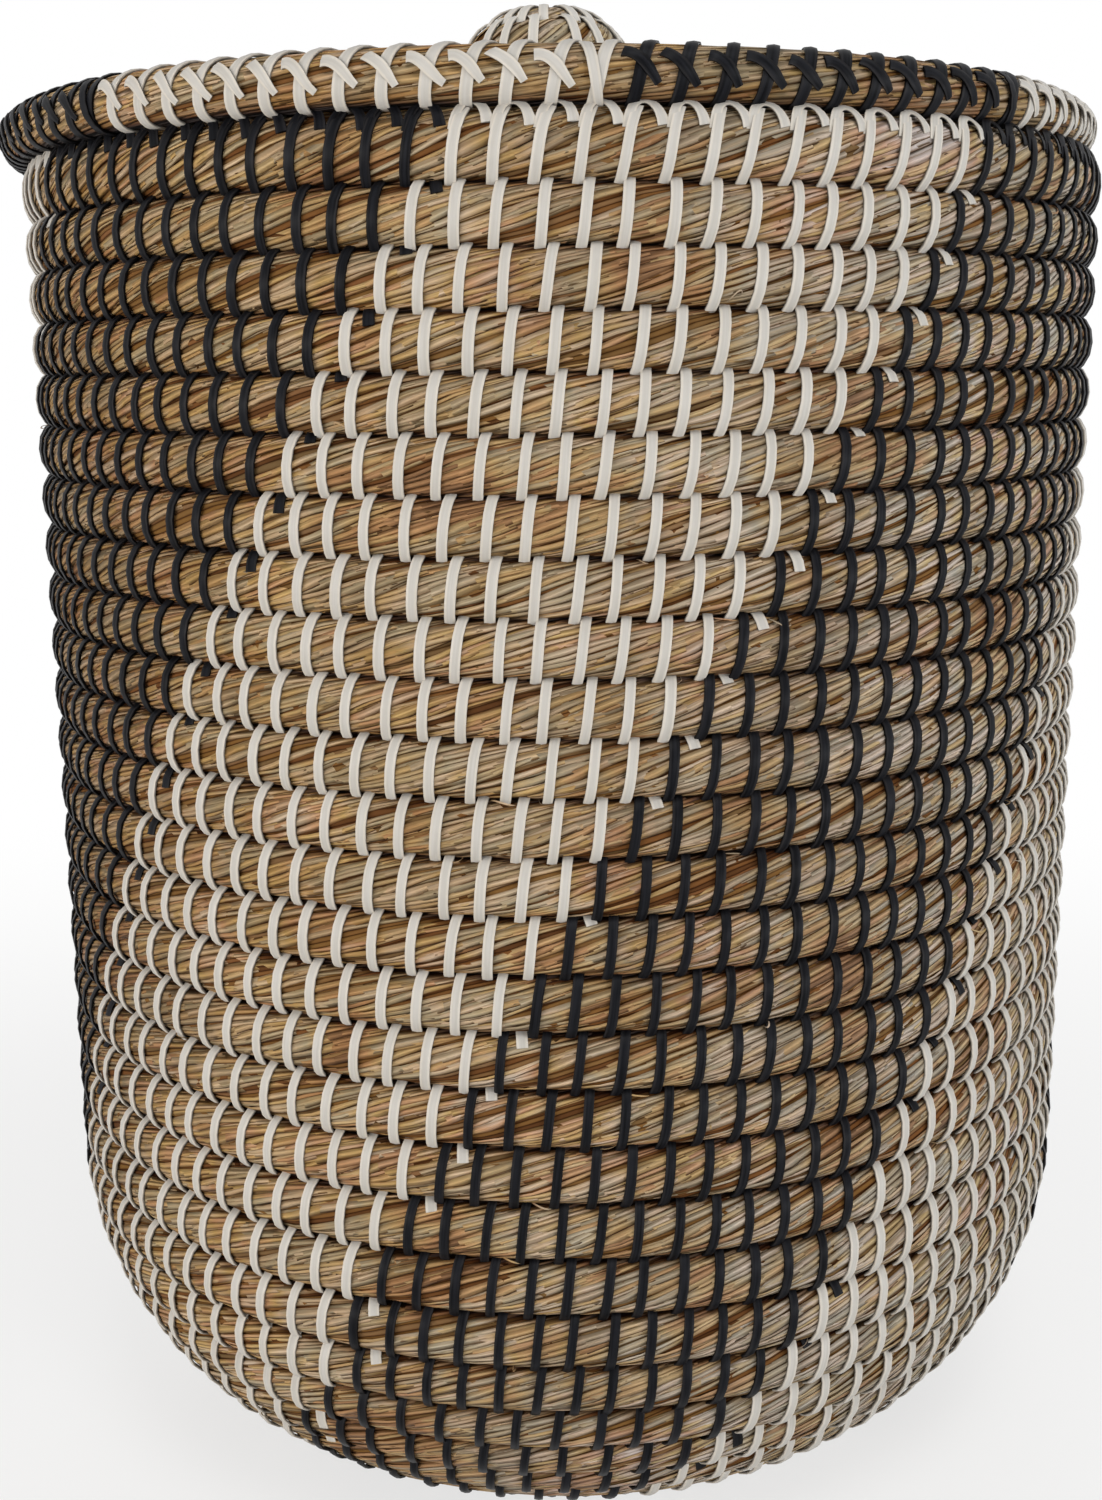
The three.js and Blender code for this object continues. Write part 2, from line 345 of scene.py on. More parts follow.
def makeStripTree():
    floats = ["Width", "Thickness", "Side", "Onward", "Clearance", "Tail", "Tail depth"]
    tree, use, curve = newTree("stitchStrips", Object=["Stitches"], Int=["Steps", "Sides"], Float=floats)
    unit = unitStrip(tree, use["Steps"], use["Sides"], -1.0)
    real = copied(tree, use["Stitches"], unit)

    # "stitch" holds the length along the coil, the lean and a tone; "span" the angles of its two ends and
    # how far its upper end curls over.
    share, up, across = parted(tree, named(tree, "unit"))
    u, lean, tone = parted(tree, named(tree, "stitch"))
    start, finish, curl = parted(tree, named(tree, "span"))
    angle = start + (share * 0.5 + 0.5) * (finish - start)
    side = signedPower(tree, across, bandEdge) * use["Width"] * (tone * 0.12 + 0.93) * 0.5
    lift = signedPower(tree, up, bandFace) * use["Thickness"] * 0.5 + use["Clearance"]
    above = maths(tree, "MAXIMUM", -share, 0.0)
    length = u - lean * share + above * above * curl
    middle, outward, along, down, halfHeight, halfDepth = coilPlace(tree, curve, length)
    sine = maths(tree, "SINE", angle)
    cosine = maths(tree, "COSINE", angle)
    below = maths(tree, "MAXIMUM", share, 0.0)
    tail = use["Tail"] * (maths(tree, "FRACT", tone * 5.3) + 0.5)
    reach = signedPower(tree, sine, squareness) * (1.0 + below * below * tail)
    drop = (reach * halfHeight + sine * lift) * use["Onward"]
    hugging = signedPower(tree, cosine, squareness) * halfDepth
    shallow = (halfDepth - use["Tail depth"]) * maths(tree, "GREATER_THAN", share, 0.0)
    out = (maths(tree, "SMOOTH_MAX", hugging, shallow, 0.6 * mm) + cosine * lift) * use["Side"]
    shifts = [scaled(tree, *shift) for shift in ((along, side), (outward, out), (down, drop))]
    place = aboveFloor(tree, summed(tree, middle, *shifts))
    real = marked(tree, real, joined(tree, share * 0.014, across, tone), sine * 0.5 + 0.5, up)
    endTree(tree, real, place, use["Material"], True)
    return tree


# Strips that lie along a curve on the bundle. Each has four control points, of a length along the coil and
# a length round the section, and a lift for its two ends and its middle.
def makeLaceTree():
    floats = ["Width", "Thickness", "Around", "Pointed", "Waist"]
    tree, use, curve = newTree("laceStrips", Object=["Laces"], Int=["Steps", "Sides"], Float=floats)
    unit = unitStrip(tree, use["Steps"], use["Sides"], 0.0)
    real = copied(tree, use["Laces"], unit)

    t, up, across = parted(tree, named(tree, "unit"))
    at, tone, middleLift = parted(tree, named(tree, "stitch"))
    controls = [parted(tree, named(tree, f"control{number}")) for number in range(4)]
    back = 1.0 - t
    weights = [back * back * back, 3.0 * back * back * t, 3.0 * back * t * t, t * t * t]
    slopes = [-1.0 * back * back, back * back - 2.0 * back * t, 2.0 * back * t - t * t, t * t]

    def blended(column, shares):
        terms = [share * control[column] for share, control in zip(shares, controls)]
        return terms[0] + terms[1] + terms[2] + terms[3]

    run, around = blended(0, weights), blended(1, weights)
    runSlope, aroundSlope = blended(0, slopes), blended(1, slopes)
    speed = maths(tree, "SQRT", runSlope * runSlope + aroundSlope * aroundSlope) + 0.00001
    hump = 4.0 * t * back
    taper = 1.0 - maths(tree, "MAXIMUM", (t - 0.6) / 0.4, 0.0) * use["Pointed"] - hump * use["Waist"]
    side = signedPower(tree, across, bandEdge) * use["Width"] * 0.5 * taper
    run = run - side * aroundSlope / speed
    around = around + side * runSlope / speed
    lift = controls[0][2] * back + controls[3][2] * t
    face = signedPower(tree, up, bandFace) * use["Thickness"] * 0.5
    height = lift * (1.0 - hump) + middleLift * hump + face
    real = marked(tree, real, joined(tree, t * 0.02, across, tone), 0.5, up)
    place = onSection(tree, curve, at + run, around / use["Around"], height)
    endTree(tree, real, place, use["Material"], True)
    return tree


# Materials

def newMaterial(name, roughness):
    material = bpy.data.materials.new(name)
    material.use_nodes = True
    tree = material.node_tree
    shader = tree.nodes["Principled BSDF"]
    shader.inputs["Roughness"].default_value = roughness
    return material, tree, shader


def ramp(tree, factor, stops):
    node = addNode(tree, "ShaderNodeValToRGB", {"Fac": factor})
    elements = node.color_ramp.elements
    while len(elements) < len(stops):
        elements.new(0.5)
    for element, (place, colour) in zip(elements, stops):
        element.position = place
        element.color = (*colour, 1.0)
    return node.outputs["Color"]


def multiplied(tree, first, second):
    plugs = {"Factor": 1.0, 6: first, 7: second}
    return addNode(tree, "ShaderNodeMix", plugs, data_type="RGBA", blend_type="MULTIPLY").outputs[2]


# What the mesh holds under a name.
def painted(tree, name, output="Fac"):
    return Field(tree, addNode(tree, "ShaderNodeAttribute", attribute_name=name).outputs[output])


def finishMaterial(tree, shader, colour, height, strength, distance):
    plug(tree, shader.inputs["Base Color"], colour)
    plugs = {"Height": height, "Strength": strength, "Distance": distance}
    plug(tree, shader.inputs["Normal"], addNode(tree, "ShaderNodeBump", plugs).outputs[0])


# 1 up to the start and low from the end on.
def faded(tree, value, start, end, low):
    plugs = {"Value": value, "From Min": start, "From Max": end, "To Min": 1.0, "To Max": low}
    return Field(tree, addNode(tree, "ShaderNodeMapRange", plugs).outputs[0])


grassTones = [
    (0.00, (0.24, 0.125, 0.055)),
    (0.14, (0.46, 0.250, 0.110)),
    (0.30, (0.51, 0.345, 0.150)),
    (0.44, (0.40, 0.325, 0.205)),
    (0.58, (0.57, 0.415, 0.265)),
    (0.72, (0.51, 0.340, 0.130)),
    (0.86, (0.51, 0.285, 0.150)),
    (1.00, (0.60, 0.475, 0.345)),
]


# Grass that is darker is also warmer.
def warmer(level):
    return level ** 0.8, level ** 1.03, level ** 1.35


def shadedBy(tree, colour, value):
    return multiplied(tree, colour, joined(tree, *warmer(value)))


# Painted light and shade: the basket's grass is painted darker and warmer on the left, and paler and
# cooler on the right, at the foot and at the top left.
basketSideLight = [
    (0.00, (0.57, 0.54, 0.54)),
    (0.07, (0.65, 0.61, 0.58)),
    (0.14, (0.77, 0.72, 0.66)),
    (0.27, (0.96, 0.93, 0.87)),
    (0.50, (0.98, 0.99, 1.05)),
    (0.69, (0.95, 1.01, 1.22)),
    (0.80, (0.99, 1.11, 1.45)),
    (1.00, (1.00, 1.16, 1.56)),
]
# Painted light and shade on the lid: lighter round the middle and darker on the right.
lidSideLight = [
    (0.20, (0.98, 0.95, 0.92)),
    (0.42, (1.12, 1.07, 1.04)),
    (0.55, (1.10, 1.05, 1.02)),
    (0.66, (0.66, 0.65, 0.63)),
    (1.00, (0.74, 0.74, 0.76)),
]


# Painted light and shade across the grass: a ramp over x, moved towards its paler end at the foot and at
# the top left.
def paintedSideLight(tree, place, tones):
    x, _, z = parted(tree, place)
    foot = maths(tree, "MAXIMUM", 0.18 - z, 0.0) * 1.6
    topLeft = maths(tree, "MAXIMUM", z - 0.38, 0.0) * maths(tree, "MAXIMUM", -x, 0.0) * 5.0
    return ramp(tree, x * 2.38 + 0.5 + foot + topLeft, tones)


# Painted shadow and dust keep the grooves between the rows dark, most of all on the upper side of a row,
# under the row above.
grooveLevels = [
    (0.0, 0.01), (0.06, 0.02), (0.09, 0.10), (0.115, 0.34), (0.14, 0.60), (0.18, 1.0), (0.72, 1.0),
    (0.78, 0.90), (0.85, 0.80), (0.89, 0.60), (0.915, 0.32), (0.94, 0.08), (0.96, 0.01), (1.0, 0.01),
]


def grooveShaded(tree, colour):
    levels = [(place, warmer(level)) for place, level in grooveLevels]
    return multiplied(tree, colour, ramp(tree, painted(tree, "depth"), levels))


grassLook = {
    "roughness": 0.62,
    "gloss": 0.25,
    "bladeSpread": 0.36,  # how far single blades, and whole patches, differ in tone
    "patchSpread": 1.9,
    "patchScale": 19.0,
    "dimScale": 31.0,
    "dimPatch": 0.74,
    "darkStreak": 0.60,
    "bump": 0.4,
}


# Below is the level of the painted shade on the lower side of each row, and sides is the ramp of painted
# light and shade from side to side.
def makeGrass(name, shade, sides=basketSideLight, below=1.0):
    material, tree, shader = newMaterial(name, grassLook["roughness"])
    shader.inputs["Specular IOR Level"].default_value = grassLook["gloss"]
    run, across, tone = parted(tree, painted(tree, "grain", "Vector"))
    place = addNode(tree, "ShaderNodeTexCoord").outputs["Object"]
    patches = noise(tree, place, grassLook["patchScale"], 2.0)
    mix = (tone - 0.5) * grassLook["bladeSpread"] + 0.5 + (patches - 0.5) * grassLook["patchSpread"]
    colour = ramp(tree, mix, grassTones)
    streaks = noise(tree, joined(tree, run * 30.0, across * 2.6, tone * 57.0), detail=4.0)
    streak = faded(tree, streaks, 0.68, 0.32, grassLook["darkStreak"])
    patch = faded(tree, noise(tree, place, grassLook["dimScale"]), 0.65, 0.35, grassLook["dimPatch"])
    # painted shadow: some blades stand clear of the next and throw a dark line along their lower edge, and
    # some lie close to it; the upper edge gets a milder painted shade
    clear = maths(tree, "FRACT", tone * 7.31) ** 2.0
    edges = faded(tree, across, 0.46, 0.80, clear * 0.6 + 0.02) * faded(tree, -across, 0.66, 0.87, 0.55)
    lowerSideShade = faded(tree, painted(tree, "depth"), 0.58, 0.90, below)
    # the painted light and shade from side to side
    toned = multiplied(tree, colour, paintedSideLight(tree, place, sides))
    shaded = shadedBy(tree, toned, streak * patch * edges * lowerSideShade * shade)
    finishMaterial(tree, shader, grooveShaded(tree, shaded), streaks, grassLook["bump"], 0.3 * mm)
    return material


underLook = {
    "roughness": 0.8,
    "gloss": 0.1,
    "strands": 640.0,  # in a metre across them, so each is about 1.5 mm wide
    "wander": 3.0,
    # the under layer is painted dark as shade beneath the blades, and darker still at a strand's edge as
    # painted shadow between strands
    "middle": 0.28,  # brightness of a strand's middle, and how much less it is at its edge
    "fall": 0.26,
    "bump": 0.8,
    "depth": 1.4,
}


# The strands of a bundle below its outermost blades, in painted shade, with a painted shadow in the gap
# between two of them.
def makeUnderGrass(name):
    material, tree, shader = newMaterial(name, underLook["roughness"])
    shader.inputs["Specular IOR Level"].default_value = underLook["gloss"]
    length, strand, _ = parted(tree, painted(tree, "grain", "Vector"))
    drift = noise(tree, joined(tree, length * 11.0, strand * 90.0, 0.0), detail=2.0)
    across = strand * underLook["strands"] + (drift - 0.5) * underLook["wander"]
    number = maths(tree, "FLOOR", across)
    within = maths(tree, "ABSOLUTE", across - number - 0.5) * 2.0
    tone = addNode(tree, "ShaderNodeTexWhiteNoise", {"W": number}, noise_dimensions="1D").outputs["Value"]
    level = underLook["middle"] - (within ** 3.0) * underLook["fall"]
    shaded = shadedBy(tree, ramp(tree, tone, grassTones), level)
    toned = grooveShaded(tree, shaded)
    finishMaterial(tree, shader, toned, level, underLook["bump"], underLook["depth"] * mm)
    return material


# edgeLight is how much lighter a strip's edges are painted, as painted light
stripLooks = {
    "cream": {
        "colour": (0.535, 0.512, 0.477), "darker": (0.490, 0.465, 0.425),
        "edgeLight": 0.16, "roughness": 0.5, "gloss": 0.2,
    },
    "black": {
        "colour": (0.0112, 0.0117, 0.0148), "darker": (0.0030, 0.0032, 0.0043),
        "edgeLight": 0.8, "roughness": 0.42, "gloss": 0.06,
    },
    # the knob's strip is the cream strip painted lighter, as painted light on the knob's upward faces
    "knob": {
        "colour": (0.68, 0.655, 0.61), "darker": (0.63, 0.602, 0.555),
        "edgeLight": 0.14, "roughness": 0.5, "gloss": 0.2,
    },
}


def makeStrip(name, colour, darker, edgeLight, roughness, gloss):
    material, tree, shader = newMaterial(name, roughness)
    shader.inputs["Specular IOR Level"].default_value = gloss
    run, across, tone = parted(tree, painted(tree, "grain", "Vector"))
    lines = noise(tree, joined(tree, run * 60.0, across * 2.0, tone * 41.0), detail=3.0)
    face = ramp(tree, lines, [(0.35, darker), (0.62, colour)])
    depth = painted(tree, "depth")
    # painted shade at both ends of a strip, where it goes down into the grooves
    ends = faded(tree, depth, 0.08, 0.01, 0.2) * faded(tree, depth, 0.91, 0.99, 0.45)
    # painted shadow: the lower half of each side, and a thin band along each edge of the face, are
    # darkened as if in the shadow of the grass
    aside = maths(tree, "ABSOLUTE", across)
    edges = faded(tree, painted(tree, "rise"), 0.2, -0.2, 0.3) * faded(tree, aside, 0.80, 0.87, 0.85)
    # painted shade of the sides and the ends together, and painted light: both edges of a strip are
    # painted lighter than its middle, red most and blue least, as if they caught more light
    paintedShade = edges * ends
    shades = [paintedShade * faded(tree, aside, 0.40, 0.62, 1.0 + edgeLight * share) for share in (1.0, 0.8, 0.5)]
    finishMaterial(tree, shader, multiplied(tree, face, joined(tree, *shades)), lines, 0.15, 0.3 * mm)
    return material


# Stage

# The camera was fitted to the curves of the rows and to the outline.
cameraFit = {
    "place": (0.0, -756.8, 431.7),
    "yaw": -0.418,
    "tilt": 12.131,
    "roll": -0.419,
    "lens": 42.62,
    "sensor": 36.0,
}

light = {
    "world": 0.28,
    "lamps": {  # place, size, power and colour
        "key": ((0.3, -1.3, 2.6), (1.0, 1.0), 20.0, (1.0, 1.0, 1.0)),
        "left": ((-1.8, -1.5, 0.35), (2.2, 0.6), 31.0, (1.0, 0.965, 0.92)),
        "right": ((1.9, -1.45, 0.35), (2.2, 0.6), 27.0, (0.975, 0.99, 1.0)),
        "back": ((0.0, 2.3, 0.5), (1.6, 0.7), 38.0, (1.0, 1.0, 1.0)),
    },
    "floorHalf": 6.0,
    "floorColour": (0.86, 0.86, 0.85, 1.0),
    "floorNear": 0.32,
    "floorFar": 1.1,
    "floorGlow": 0.7,
}


def makeCamera(fit):
    yaw, tilt, roll = (math.radians(fit[name]) for name in ("yaw", "tilt", "roll"))
    right = Vector((math.cos(yaw), -math.sin(yaw), 0))
    forward = Vector((math.sin(yaw), math.cos(yaw), 0))
    up = Vector((0, 0, 1))
    looking = math.cos(tilt) * forward - math.sin(tilt) * up
    upward = math.sin(tilt) * forward + math.cos(tilt) * up
    xAxis = math.cos(roll) * right + math.sin(roll) * upward
    yAxis = -math.sin(roll) * right + math.cos(roll) * upward
    data = bpy.data.cameras.new("camera")
    data.sensor_fit = "VERTICAL"
    data.sensor_height = fit["sensor"]
    data.lens = fit["lens"]
    camera = bpy.data.objects.new("camera", data)
    turn = Matrix((xAxis, yAxis, -looking)).transposed().to_4x4()
    camera.matrix_world = Matrix.Translation(Vector(fit["place"]) * mm) @ turn
    scene.collection.objects.link(camera)
    scene.camera = camera


def makeLamp(name, place, size, power, colour):
    data = bpy.data.lights.new(name, "AREA")
    data.shape = "RECTANGLE"
    data.size, data.size_y = size
    data.energy = power
    data.color = colour
    lamp = bpy.data.objects.new(name, data)
    lamp.location = place
    lamp.visible_camera = False
    aim = Vector((0, 0, 0.25)) - Vector(place)
    lamp.rotation_euler = aim.to_track_quat("-Z", "Y").to_euler()
    scene.collection.objects.link(lamp)


def seenDirectly(tree):
    path = addNode(tree, "ShaderNodeLightPath")
    seen = maths(tree, "MAXIMUM", path.outputs["Is Camera Ray"], path.outputs["Is Glossy Ray"])
    return maths(tree, "MAXIMUM", seen, path.outputs["Is Transmission Ray"])


def makeWorld():
    world = bpy.data.worlds.new("studio")
    world.use_nodes = True
    tree = world.node_tree
    tree.nodes.clear()
    lit = addNode(tree, "ShaderNodeBackground", {"Color": (1, 1, 1, 1), "Strength": light["world"]})
    white = addNode(tree, "ShaderNodeBackground", {"Color": (1, 1, 1, 1), "Strength": 1.0})
    plugs = {0: seenDirectly(tree), 1: lit.outputs[0], 2: white.outputs[0]}
    mix = addNode(tree, "ShaderNodeMixShader", plugs)
    addNode(tree, "ShaderNodeOutputWorld", {0: mix.outputs[0]})
    scene.world = world


def makeFloor():
    mesh = bpy.data.meshes.new("floor")
    half = light["floorHalf"]
    corners = [(-half, -half, 0), (half, -half, 0), (half, half, 0), (-half, half, 0)]
    mesh.from_pydata(corners, [], [(0, 1, 2, 3)])
    floor = bpy.data.objects.new("floor", mesh)
    scene.collection.objects.link(floor)
    material, tree, shader = newMaterial("floorPaint", 0.9)
    shader.inputs["Base Color"].default_value = light["floorColour"]
    place = addNode(tree, "ShaderNodeTexCoord").outputs["Object"]
    away = addNode(tree, "ShaderNodeVectorMath", {0: place}, operation="LENGTH").outputs["Value"]
    far = addNode(tree, "ShaderNodeMapRange", {
        "Value": away, "From Min": light["floorNear"], "From Max": light["floorFar"],
        "To Min": light["floorGlow"], "To Max": 1.0,
    }, interpolation_type="SMOOTHSTEP").outputs[0]
    white = addNode(tree, "ShaderNodeEmission", {"Color": (1, 1, 1, 1), "Strength": 1.0})
    share = Field(tree, far) * seenDirectly(tree)
    mix = addNode(tree, "ShaderNodeMixShader", {0: share, 1: shader.outputs[0], 2: white.outputs[0]})
    plug(tree, tree.nodes["Material Output"].inputs[0], mix.outputs[0])
    mesh.materials.append(material)


# The basket's coil

basket = {
    "radius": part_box("wall_coil")[1][0] / mm,
    "bundle": 21.0,
    "around": 10.3,
    "rimRowHeight": 18.2,
    "rowGrowth": 0.123,
    "topRowExtra": 2.8,
    "wallRows": 20,
    "rows": 33,
    "heelRadius": 126.0,
    "heelTurn": math.radians(55),
    "footRadius": 70.0,
    "climbFrom": 120.0,  # degrees between which the coil climbs from one row to the next
    "climbTo": 240.0,
    "squeeze": 0.8,  # how far a row presses into the next one
    "openTurns": 0.62,  # up to here the coil has no row above it
    "pathStep": 2.2,
    "bundles": {"rim_coil": (-1, 1), "wall_coil": (1, 20), "heel_coil": (20, 27), "base_coil": (27, 33)},
}

stitching = {
    "perTurn": 102,
    "onward": 0.45,  # degrees that a column of stitches moves in each row
    "closest": 12.0,  # stitches are at least this far apart, so the narrow rows have fewer
    "closestBelow": 13.4,  # and this far on rows narrower than the wall
    "wideBelow": 198.0,
    "firstCream": -9.0,  # the first cream stitch of the front panel, in the top row
    "panels": [14, 13, 13, 12, 12, 11, 12, 14],
    "pinch": 0.6,
    "lean": 1.95,
    "curl": 1.5,  # how far the strips of the top row lean over at the edge
    "jitter": 0.8,
    "width": {"cream": 3.6, "black": 3.4},
    "thickness": 1.3,
    "clearance": 1.4,
    "halfSpan": 1.45,  # the angle from a strip's middle to its end, and to its end at the edge
    "edgeSpan": 0.85,
    "tail": 0.15,
    "tailDepth": 5.2,
    "outerCut": (9, 6),  # steps along a strip and sides of its section, outside and inside
    "innerCut": (7, 4),
}

coilStart = (basket["climbFrom"] - basket["climbTo"]) / 360


def rowEdge(k):
    top = basket["topRowExtra"] * min(k, 1)
    return top + basket["rimRowHeight"] * k + basket["rowGrowth"] * k * k / 2


turned = basket["heelTurn"]
wallHeight = rowEdge(basket["wallRows"])
basketHeight = (wallHeight + basket["heelRadius"] * math.sin(turned)
                + basket["footRadius"] * (1 - math.sin(turned)))


# Radius, height and turn of the outside, at a length from the top edge.
def basketProfile(s):
    heelLength = basket["heelRadius"] * turned
    footLength = basket["footRadius"] * (math.pi / 2 - turned)
    heel = min(max(s - wallHeight, 0), heelLength) / basket["heelRadius"]
    foot = min(max(s - wallHeight - heelLength, 0), footLength) / basket["footRadius"]
    flat = max(s - wallHeight - heelLength - footLength, 0)
    footIn = basket["footRadius"] * (math.cos(turned) - math.cos(turned + foot))
    footDown = basket["footRadius"] * (math.sin(turned + foot) - math.sin(turned))
    radius = basket["radius"] - basket["heelRadius"] * (1 - math.cos(heel)) - footIn - flat
    height = basketHeight - min(s, wallHeight) - basket["heelRadius"] * math.sin(heel) - footDown
    return radius, height, heel + foot


# How many rows the coil has passed: it keeps level, then climbs a whole row.
def rowAfter(turns):
    row = math.floor(turns + 1e-9)
    t = min(max((turns - row - 1 - coilStart) / -coilStart, 0), 1)
    return row + t * t * (3 - 2 * t)


# A point of a coil: where the middle of the section is, which way is out, and the half sizes.
def coilPoint(turns, angle, radius, height, turn, shift, halfHeight, halfDepth, grooveAbove):
    sine, cosine = math.sin(angle), math.cos(angle)
    return {
        "turns": turns,
        "middle": Vector((radius * sine + shift, -radius * cosine, height)) * mm,
        "outward": Vector((math.cos(turn) * sine, -math.cos(turn) * cosine, -math.sin(turn))),
        "along": Vector((cosine, sine, 0)),
        "halfHeight": halfHeight,
        "halfDepth": halfDepth,
        "grooved": (grooveAbove, 1, 0),
        "radius": radius,
    }


# Points along a coil wound over a profile. Edge gives the length at which a row starts.
def coilPoints(profile, edge, rows, bundle, squeeze, shift=0.0, openTurns=-1.0):
    points = []
    turns = coilStart
    while turns < rows:
        row = rowAfter(turns)
        top = edge(max(row, 0))
        bottom = edge(min(row + 1, rows))
        outerRadius, outerHeight, turn = profile((top + bottom) / 2)
        angle = math.radians(basket["climbTo"] + 360 * turns)
        radius = max(outerRadius - bundle / 2 * math.cos(turn), 1.0)
        height = outerHeight + bundle / 2 * math.sin(turn)
        halfHeight = abs(bottom - top) / 2
        halfDepth = bundle / 2 * min(1, (halfHeight / 9 + 0.03) ** 0.5)  # its ends taper away
        grooveAbove = min(max((turns - openTurns) * 8, 0), 1)
        points.append(coilPoint(turns, angle, radius, height, turn, shift,
                                halfHeight + squeeze, halfDepth, grooveAbove))
        turns += basket["pathStep"] / (2 * math.pi * max(radius, 12))
    return measured(points)


# Points round one closed turn, its ends butted at the back.
def ringPoints(radius, height, bundle, shift):
    points = []
    count = round(2 * math.pi * radius / basket["pathStep"])
    for number in range(count + 1):
        share = number / count
        turns = share + (180 - basket["climbTo"]) / 360
        angle = math.radians(180 + 360 * share)
        points.append(coilPoint(turns, angle, radius, height, 0, shift, bundle / 2 - 0.5, bundle / 2, 0))
    return measured(points)


def measured(points):
    length = 0
    for number, point in enumerate(points):
        if number:
            length += (point["middle"] - points[number - 1]["middle"]).length
        point["length"] = length
    return points


def pointAfter(points, turns):
    return bisect_right(points, turns, key=lambda point: point["turns"])


def lengthAt(points, turns):
    i = min(max(pointAfter(points, turns), 1), len(points) - 1)
    before, after = points[i - 1], points[i]
    share = min(max((turns - before["turns"]) / (after["turns"] - before["turns"]), 0), 1)
    return before["length"] + share * (after["length"] - before["length"])


# A helper with one vertex for each row, which holds the row's values as attributes.
def helperObject(name, rows, places=(), edges=()):
    mesh = bpy.data.meshes.new(name)
    mesh.from_pydata(places or [(0, 0, 0)] * len(rows), edges, [])
    for column in rows[0]:
        attribute = mesh.attributes.new(column, "FLOAT_VECTOR", "POINT")
        attribute.data.foreach_set("vector", [v for row in rows for v in row[column]])
    helper = bpy.data.objects.new(name, mesh)
    scene.collection.objects.link(helper)
    helpers.append(helper)
    return helper


# A coil: its path, and what its pieces share. Around is the radius that turns a length round its section
# into an angle, and the material is its blades'.
def makeCoil(name, body, points, around, material):
    rows = [{
        "outward": p["outward"], "along": p["along"],
        "size": (p["halfHeight"] * mm, p["halfDepth"] * mm, 0), "grooved": p["grooved"],
    } for p in points]
    edges = [(i, i + 1) for i in range(len(points) - 1)]
    path = helperObject(name + "Path", rows, [p["middle"] for p in points], edges)
    return {"body": body, "points": points, "path": path, "around": around * mm, "material": material}


# Number of the panel that a place of the pattern is in, the place inside it and its count of stitches.
def panelOf(place, panels):
    for number, count in enumerate(panels):
        if place < count:
            return number, place, count
        place -= count


# Where the stitches lie along a coil. A place counts the stitches of the pattern, from the first cream one
# of the front panel: the basket's pattern repeats one stitch short of a turn, so its panels move one
# stitch in each row.
def placeStitches(points, pattern, chooser):
    spacing = (360 + pattern["onward"]) / pattern["perTurn"]
    repeat = sum(pattern["panels"])
    start, end = (basket["climbTo"] + 360 * point["turns"] for point in (points[0], points[-1]))
    first = pattern["firstCream"] + 360
    count = math.ceil((start - first) / spacing)
    angle = first + count * spacing
    stitches = []
    while angle < end:
        turns = (angle - basket["climbTo"]) / 360
        radius = points[pointAfter(points, turns) - 1]["radius"]
        wider = min(max(stitching["wideBelow"] - radius, 0) / 8, 1)
        closest = stitching["closest"] + wider * (stitching["closestBelow"] - stitching["closest"])
        pitch = max(spacing, math.degrees(closest / radius))
        panel, place, size = panelOf((count + 0.01) % repeat, pattern["panels"])
        stitches.append({
            "at": lengthAt(points, turns) + chooser.uniform(-1, 1) * stitching["jitter"] * mm,
            "turns": turns,
            "colour": "black" if panel % 2 else "cream",
            "opening": place < 1,
            "last": place > size - 1,
            "tone": chooser.random(),
            "lean": stitching["lean"] + chooser.uniform(-0.5, 0.5),
            "pitch": math.radians(pitch) * radius,
        })
        angle += pitch
        share = pitch / spacing
        count += share * repeat / (repeat + 1 - share)
    return stitches


# The bundle is drawn in under each stitch and swells between two of them.
def pinch(points, stitches):
    places = [s["at"] for s in stitches]
    for point in points:
        i = bisect_right(places, point["length"])
        if i == 0 or i == len(places):
            continue
        share = (point["length"] - places[i - 1]) / (places[i] - places[i - 1])
        depth = stitching["pinch"] * math.cos(2 * math.pi * share) / 2
        point["halfDepth"] -= depth + stitching["pinch"] * 0.3
        point["halfHeight"] -= depth * 0.6


# What lies on a coil

# One piece: a tree run on a coil's path, turned into a plain mesh.
def grow(name, tree, coil, values, nodes=()):
    piece = bpy.data.objects.new(name, coil["path"].data)
    scene.collection.objects.link(piece)
    modifier = piece.modifiers.new("grow", "NODES")
    modifier.node_group = tree
    values["Around"] = coil["around"]
    for socket in tree.interface.items_tree:
        if socket.in_out == "INPUT" and socket.name in values:
            modifier[socket.identifier] = values[socket.name]
    depsgraph = bpy.context.evaluated_depsgraph_get()
    mesh = bpy.data.meshes.new_from_object(piece.evaluated_get(depsgraph))
    mesh.name = name
    piece.modifiers.remove(modifier)
    piece.data = mesh
    print(f"{name}: {sum(len(p.vertices) - 2 for p in mesh.polygons)} triangles")
    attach(piece, coil["body"])
    if nodes:
        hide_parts(*nodes)


def growBundle(name, coil, turns, nodes, sides=14, slope=blades["slope"]):
    begin, end = (lengthAt(coil["points"], turn) for turn in turns)
    rings = max(int((end - begin) / (bundles["ringStep"] * mm)), 4)
    grow(name, bundleTree, coil, {
        "From": begin, "To": end, "Rings": rings, "Sides": sides, "Slope": slope,
        "Ridge": bundles["ridge"] * mm, "Material": underGrass,
    }, nodes)


